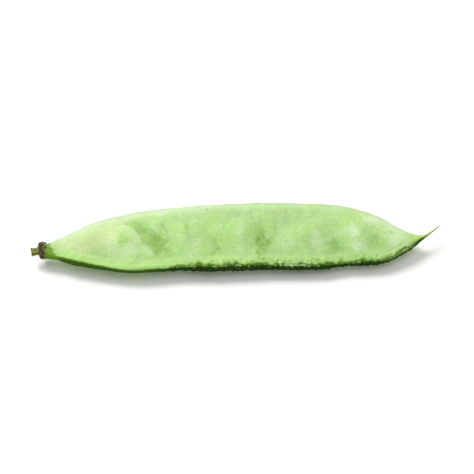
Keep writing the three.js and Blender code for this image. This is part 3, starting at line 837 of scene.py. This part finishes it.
def makePod():
    # the walls, whose points move out along their normals by the skin's relief plus each lump's height *
    # share, and none stays below the surface
    grid = podGrid()
    podEdges(grid)
    sunk, foldMasks = foldDepth(grid)
    hollows = spots(grid, pod["hollows"], pod["hollowWaver"], 7, 3) * grid.upper
    points = standWalls(grid, podWall(grid) - sunk - hollows)
    measureSkin(grid, points)
    measureEdge(grid)
    lumps = edgeLumps(grid)
    lumpy = sum(tall * lumps[kind] for kind, tall in pod["roughEdge"]["heights"].items())
    relief = grid.room * lumpy + skinRelief(grid)
    points = points + outward(points) * relief[..., None]
    points[..., 2] = np.maximum(points[..., 2], 0)
    return gridPiece("pod_skin", points, {**foldMasks, **edgeMasks(grid, lumps), **wallMasks(grid)})


def wallColour(skin, texture):
    # fresh green in two hues, worn patches with painted shade, bloom with painted highlight, and the finer
    # marks, with painted shade in the creases
    fine, grain = texture.fine, texture.grain
    patchy = 1.5 * fine + 0.9 * texture.broad
    skin.coat("cool", texture.broad)
    skin.coat("yellow", fine)
    # painted shade: dark patches beside the seeds' swellings and the fold, darker on the fold's sunk side,
    # along with worn bloom
    skin.coat("wornAndShaded", skin.mask("wornAndShaded") + 0.2 * skin.mask("folded") + patchy)
    # painted highlight: bloom patches where the light falls brightest, and along the fold's crest
    skin.coat("bloomAndHighlight", skin.mask("bloomedAndLit") + 0.3 * skin.mask("crestHighlight") + patchy)
    skin.coat("warm", skin.mask("warm") + fine)
    skin.coat("dull", skin.mask("dull") + 1.5 * fine)
    skin.coat("veins", skin.mask("veins"))
    skin.coat("paleGrain", grain)
    skin.coat("darkGrain", grain)
    # painted shade in the wrinkles
    skin.coat("creaseShade", skin.mask("creased"))
    skin.coat("paleBand", skin.mask("paleBand") + 2.4 * fine)


def edgeColour(skin, texture, inside, along):
    # yellow-green blotches, olive ones that crowd towards the strip, the strip itself in darker green with
    # painted shade, painted shade towards the seam, its warts, and painted highlights as dashes and flecks
    mottle, grain = texture.mottle, texture.grain
    rough, strays = skin.mask("rough"), skin.mask("strays")
    beakward = skin.between(along, *pod["coloursBeakward"])
    stemward = skin.between(along, *pod["coloursStemward"])
    skin.coat("nearStrip", inside + 2.2 * mottle + 0.3 * stemward, atLeast(0.65, stemward))
    crowded = rough * (1 - 0.6 * beakward)
    skin.coat("olive", inside + 0.25 * strays + 3.2 * mottle + 1.2 * grain, crowded)
    # the seam's darker green, darkened further as painted shade
    skin.coat("strip", inside + (0.2 + 0.6 * rough) * mottle)
    # painted shade on the strip, deepest towards the seam
    seamShade = (0.5 - 0.35 * beakward) * skin.mask("seamSide")
    skin.coat("shade", inside + seamShade + 0.9 * mottle, atLeast(0.53, rough))
    skin.coat("wart", skin.mask("warts") + 0.8 * grain)
    skin.coat("stray", strays)
    skin.coat("beakStrip", skin.mask("beakStrip") + 2 * mottle + 1.2 * grain)
    # painted highlight: a broken pale line along the seam's lip
    skin.coat("dashHighlight", skin.mask("dashHighlights") + 0.8 * grain)
    # painted highlight on the tops of the teeth and warts
    skin.coat("fleckHighlight", skin.mask("fleckHighlights") + 0.7 * grain)


def podMaterial():
    # the wall's coats, the edge's, then the painted highlight of the rim, the coats of the neck and the
    # beak, and the specks last
    skin = Finish("fresh_pod_skin", pod["fresh"], pod["coats"])
    texture = SimpleNamespace(**{name: skin.noise(*kind) for name, kind in pod["textures"].items()})
    inside, along, fine = skin.mask("inside"), skin.mask("along"), texture.fine
    wallColour(skin, texture)
    edgeColour(skin, texture, inside, along)
    wallEnd, stripFull = pod["stripEnd"]
    wallOnly = skin.between(inside, stripFull, wallEnd)
    # painted highlight along the smooth edge, on the wall only
    skin.coat("rim", skin.mask("rimHighlight") + 1.2 * fine, wallOnly)
    skin.coat("collar", skin.mask("collar") + 1.2 * fine)
    skin.coat("neck", skin.mask("neck") + 0.6 * fine)
    skin.coat("beak", along, wallOnly)
    # painted shade in the furrow along the border
    skin.coat("furrow", skin.mask("furrow") + 0.5 * texture.grain)
    skin.coat("pit", skin.cells(pod["pitScale"]), skin.between(texture.pitted, *pod["pitted"]))
    skin.coat("speck", skin.mask("specks"))
    plain, onBloom, byNoise, onStrip = pod["roughness"]
    roughness = plain + onBloom * skin.mask("bloomedAndLit") + byNoise * fine
    roughness = roughness + skin.between(inside, wallEnd, stripFull, onStrip)
    down = skin.bump(texture.down, *pod["downBump"])
    bump = skin.bump(texture.grain, *pod["grainBump"], down)
    return skin.finishWith({"Roughness": roughness, "Normal": bump, **pod["surface"]})


podPiece = makePod()
podPiece.data.materials.append(podMaterial())
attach(podPiece, "root")
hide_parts("pod")

# the calyx and the stalk share one axis, which leans away from the pod's neck
calyxMiddle, stalkMiddle = (calyxLow + calyxHigh) / 2, (stalkLow + stalkHigh) / 2
stemWay = np.array((calyxMiddle - stalkMiddle).normalized())
stemSide = np.array([-stemWay[1], stemWay[0], 0]) / math.hypot(stemWay[0], stemWay[1])
stemUp = np.cross(stemWay, stemSide)


def roundStem(origin, forward, sideways, upwards):
    # origin + forward * way + sideways * side + upwards * up
    across = sideways[..., None] * stemSide + upwards[..., None] * stemUp
    return np.array(origin) + forward[..., None] * stemWay + across


calyx = {
    "halfWide": 2.45 * mm,  # of the cup's outside
    "halfHigh": 2.0 * mm,
    "back": -1.15 * mm,  # from the cup's middle
    "rim": 0.95 * mm,
    "wall": 0.28 * mm,
    "floorShare": 0.22,  # of the way up from the floor's middle to the rim
    "bowl": (0.45, 2.2),  # the share of the way up where it is as wide as it gets, how square it is
    "teeth": 5,
    "toothDepth": 0.75 * mm,
    "toothPoint": 1.3,
    "raggedness": (0.18 * mm, 0.1 * mm),  # coarse, fine
    "veins": 10,
    # how much, and where on the way up it starts and is full
    "flare": (0.05, 0.6, 1),
    "veinHeight": (0.07 * mm, 0.3, 0.6),
    "crumple": (0.06 * mm, 0.2, 0.7),
    "lip": 0.06 * mm,
    "columns": 180,
    "rows": 60,
    "coats": {  # over the dark husk, as on the pod
        "brown": ((0.105, 0.08, 0.024), -0.15, 0.15, 1),
        "tan": ((0.42, 0.37, 0.19), 0.72, 1.05, 0.7),
        "green": ((0.15, 0.16, 0.03), 0.08, 0.25, 0.5),
    },
    "dark": (0.024, 0.02, 0.006),
    "textures": {"patch": (900, 4, 0.6, 0.5), "fibre": (2600, 3, 0.6)},
    "bump": (0.12 * mm, 0.8),
    "roughness": (0.78, 0.12),  # plain, by the fibres
}


def raisedBy(kind, up):
    # height * smooth step between the kind's two places on the way up
    height, start, full = calyx[kind]
    return height * smoothStep(up, start, full)


def calyxShell(angle, up, inner):
    # (back + depth q - gap p^3, wide r cos a, high r sin a) at the share p of the way from the floor's
    # middle to the rim, with q = (p - floor) / (1 - floor) from 0, r = 1 - (1 - p / full)^square up to 1,
    # grown by the flare, the veins and crumpling; inner moves it in by the wall's thickness
    depth, floorShare = calyx["rim"] - calyx["back"], calyx["floorShare"]
    coarse, fine = calyx["raggedness"]
    ragged = coarse * ringNoise(angle, 4, 0, 41) + fine * ringNoise(angle, 11, 0, 42)
    notches = 0.5 - 0.5 * np.cos(calyx["teeth"] * angle + 0.6 * ringNoise(angle, 1, 0, 43))
    gap = calyx["toothDepth"] * notches ** calyx["toothPoint"] + ragged
    full, square = calyx["bowl"]
    radius = 1 - (1 - np.minimum(up / full, 1)) ** square
    forward = calyx["back"] + depth * np.maximum(0, up - floorShare) / (1 - floorShare)
    forward = forward - gap * up ** 3 + inner * calyx["wall"] * (1 - smoothStep(up, 0, 0.5))
    flare = raisedBy("flare", up) * (1 + ringNoise(angle, 3, 0, 44))
    ribs = raisedBy("veinHeight", up) * np.cos(calyx["veins"] * angle)
    crumple = raisedBy("crumple", up) * ringNoise(angle, 5, up * 6, 45)
    grown, raised = radius * (1 + flare), ribs + crumple - inner * calyx["wall"]
    wide = np.maximum(calyx["halfWide"] * grown + raised, 0)
    high = np.maximum(calyx["halfHigh"] * grown + raised, 0)
    return np.stack([forward, wide * np.cos(angle), high * np.sin(angle)], axis=-1)


def makeCalyx():
    # rows run from the middle of the floor up the outside, over the lip and down the inside
    angle = turns(calyx["columns"])
    up = np.linspace(0.02, 1, calyx["rows"])[:, None]
    outside, inside = calyxShell(angle, up, 0), calyxShell(angle, up, 1)
    lip = (outside[-1:] + inside[-1:]) / 2 + np.array([calyx["lip"], 0, 0])
    local = np.concatenate([outside, lip, inside[::-1]])
    points = roundStem(calyxMiddle, local[..., 0], local[..., 1], local[..., 2])
    return gridPiece("dry_calyx", points, {"up": np.concatenate([up, [[1]], up[::-1]])})


def calyxMaterial():
    # patches of brown and of green over the dark husk, and paler teeth
    husk = Finish("dry_calyx_husk", calyx["dark"], calyx["coats"])
    patch, fibre = husk.noise(*calyx["textures"]["patch"]), husk.noise(*calyx["textures"]["fibre"])
    husk.coat("brown", patch)
    husk.coat("tan", husk.mask("up") + 0.4 * fibre)
    husk.coat("green", patch)
    plain, uneven = calyx["roughness"]
    bump = husk.bump(fibre, *calyx["bump"])
    return husk.finishWith({"Roughness": plain + uneven * fibre, "Normal": bump, "Specular IOR Level": 0.3})


calyxPiece = makeCalyx()
calyxPiece.data.materials.append(calyxMaterial())
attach(calyxPiece, "root")
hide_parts("calyx")

stalk = {
    "radius": 1.08 * mm,
    "start": 1.05 * mm,  # from the stalk's middle, towards the calyx
    "end": -0.82 * mm,
    "sideShare": 0.6,  # of the rows that run along the rod; the others cross its broken end
    "waist": 0.1,
    "foot": 0.04,  # how much wider it gets again towards the broken end
    "ridges": 9,
    "ridgeHeight": 0.07 * mm,
    "knobbly": 0.05 * mm,
    # on the broken end, in shares of the way in from its edge
    "splinters": 0.16 * mm,
    "splinterRing": (0.22, 0.25),  # its middle, its half width
    "pithDepth": 0.22 * mm,
    "pithSlope": (0.35, 0.9),
    "dome": 0.1 * mm,
    "columns": 120,
    "rows": 70,
    "bark": (0.3, 0.34, 0.07),
    "coats": {  # over the bark, as on the pod
        "brown": ((0.13, 0.11, 0.03), -0.1, 0.12, 1),
        "broken": ((0.42, 0.36, 0.19), 0.02, 0.2, 1),
        "pith": ((0.16, 0.12, 0.05), 0.45, 0.8, 1),
    },
    "textures": {"blotch": (1300, 4, 0.6, 0.6), "fibre": (4200, 2, 0.6)},
    "bump": (0.1 * mm, 0.8),
    "roughness": 0.75,
}


def makeStalk():
    # rows run from the calyx along the rod, then in over its broken end: (start + p way, r cos a, r sin a),
    # with r = radius waist + ridges cos(n a) + noise, which falls to 0 over the end, where a ring of
    # splinters stands out and the pith is sunk
    angle = turns(stalk["columns"])
    path = np.linspace(0, 1, stalk["rows"])[:, None]
    alongSide = np.minimum(path / stalk["sideShare"], 1)
    inward = np.maximum(0, (path - stalk["sideShare"]) / (1 - stalk["sideShare"]))
    waist = 1 - stalk["waist"] * np.sin(math.pi * alongSide) + stalk["foot"] * smoothStep(alongSide, 0.7, 1)
    ridgeTurn = stalk["ridges"] * angle + 0.8 * ringNoise(angle, 1, 0, 51)
    ridges = stalk["ridgeHeight"] * np.cos(ridgeTurn) * (1 - inward)
    uneven = stalk["knobbly"] * ringNoise(angle, 4, alongSide * 3, 52)
    radius = (stalk["radius"] * waist + ridges + uneven) * (1 - inward ** 1.6)
    brokenRing = bell(inward, *stalk["splinterRing"]) * (alongSide >= 1)
    splinters = stalk["splinters"] * ringNoise(angle, 6, 0, 53) * brokenRing
    pith = stalk["pithDepth"] * smoothStep(inward, *stalk["pithSlope"])
    dome = stalk["dome"] * np.sin(math.pi * np.minimum(inward * 1.6, 1))
    forward = stalk["start"] + (stalk["end"] - stalk["start"]) * alongSide + splinters + pith - dome
    points = roundStem(stalkMiddle, forward, -radius * np.cos(angle), radius * np.sin(angle))
    return gridPiece("stalk_stub", points, {"inward": inward})


def stalkMaterial():
    # brown blotches over the bark, then the pale broken end and the pith in it
    bark = Finish("stalk_bark", stalk["bark"], stalk["coats"])
    blotch, fibre = bark.noise(*stalk["textures"]["blotch"]), bark.noise(*stalk["textures"]["fibre"])
    bark.coat("brown", blotch)
    bark.coat("broken", bark.mask("inward"))
    bark.coat("pith", bark.mask("inward") + 0.5 * fibre)
    bump = bark.bump(fibre, *stalk["bump"])
    return bark.finishWith({"Roughness": stalk["roughness"], "Normal": bump, "Specular IOR Level": 0.3})


stalkPiece = makeStalk()
stalkPiece.data.materials.append(stalkMaterial())
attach(stalkPiece, "root")
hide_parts("stalk")

studio = {
    "floorSize": 6.0,
    "floorColour": (0.97, 0.97, 0.965),
    # round lamps that face the pod: name, place, diameter, power, colour
    "lamps": [
        ["key", (-0.3, 0.31, 0.53), 0.35, 3.75, (1, 0.99, 0.97)],
        ["top", (0.05, -0.1, 0.8), 0.8, 1.5, (1, 1, 1)],
    ],
    "skyStrength": 0.42,
    "lens": 85,
    "sensor": 36,
    "elevation": 50,  # degrees above the surface
    "share": 0.86,  # of the picture's width that the whole pod takes
}


def makeFloor():
    # one square at height 0
    half = studio["floorSize"] / 2
    mesh = bpy.data.meshes.new("floor")
    corners = [(-half, -half, 0), (half, -half, 0), (half, half, 0), (-half, half, 0)]
    mesh.from_pydata(corners, [], [(0, 1, 2, 3)])
    floor = bpy.data.objects.new("floor", mesh)
    bpy.context.scene.collection.objects.link(floor)
    paper = Finish("floor_paper", studio["floorColour"])
    mesh.materials.append(paper.finishWith({"Roughness": 0.9, "Specular IOR Level": 0.1}))
    floor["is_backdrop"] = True


def placeLooking(name, data, place, way):
    # a lamp or a camera at the place, turned to look along the way
    made = bpy.data.objects.new(name, data)
    made.location = place
    made.rotation_mode = "QUATERNION"
    made.rotation_quaternion = way.to_track_quat("-Z", "Y")
    bpy.context.scene.collection.objects.link(made)
    return made


def makeLamps():
    # discs that face the origin
    for name, place, size, power, colour in studio["lamps"]:
        data = bpy.data.lights.new(name, "AREA")
        data.shape, data.size, data.energy, data.color = "DISK", size, power, colour
        placeLooking(name, data, Vector(place), -Vector(place))


def makeSky():
    # an even white all round
    world = bpy.data.worlds.new("soft_studio")
    world.use_nodes = True
    sky = world.node_tree.nodes["Background"]
    sky.inputs["Color"].default_value = (1, 1, 1, 1)
    sky.inputs["Strength"].default_value = studio["skyStrength"]
    bpy.context.scene.world = world


def makeCamera():
    # looks at the middle of the bounds, from picture width * lens / sensor away
    low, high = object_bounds()
    middle = (low + high) / 2
    data = bpy.data.cameras.new("camera")
    data.lens, data.sensor_width = studio["lens"], studio["sensor"]
    data.clip_start, data.clip_end = 0.01, 20
    frameWidth = (high.x - low.x) / studio["share"]
    distance = frameWidth / (data.sensor_width / data.lens)
    rise = math.radians(studio["elevation"])
    back = Vector((0, -math.cos(rise), math.sin(rise)))
    bpy.context.scene.camera = placeLooking("camera", data, middle + back * distance, -back)


makeFloor()
makeLamps()
makeSky()
makeCamera()
bpy.context.scene.view_settings.view_transform = "Standard"
print("studio set")
